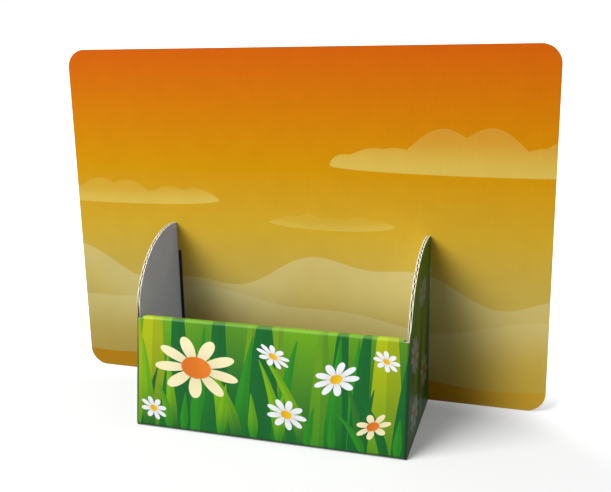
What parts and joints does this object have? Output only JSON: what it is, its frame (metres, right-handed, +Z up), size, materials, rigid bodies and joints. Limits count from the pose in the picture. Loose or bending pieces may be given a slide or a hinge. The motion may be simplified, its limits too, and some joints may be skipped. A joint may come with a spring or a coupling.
{
  "type": "cardboard display stand",
  "caption": "Counter display stand of folded corrugated board: a wide picture card leans back behind a shallow open tray with curved side walls.",
  "frame": {"origin": "middle of the tray's underside, on the surface that the stand rests on", "axes": "+X to the viewer's right along the tray's front, -Y the way the printed front faces, +Z up"},
  "size_m": [0.42, 0.1264, 0.2961],
  "materials": {
    "card_board": "satin print on the front, bare white liner on the back",
    "tray_board": "satin print on the outside, bare white liner on the inside"
  },
  "bodies": {
    "root": {"header_card": "card_board", "tray": "tray_board"}
  },
  "joints": []
}
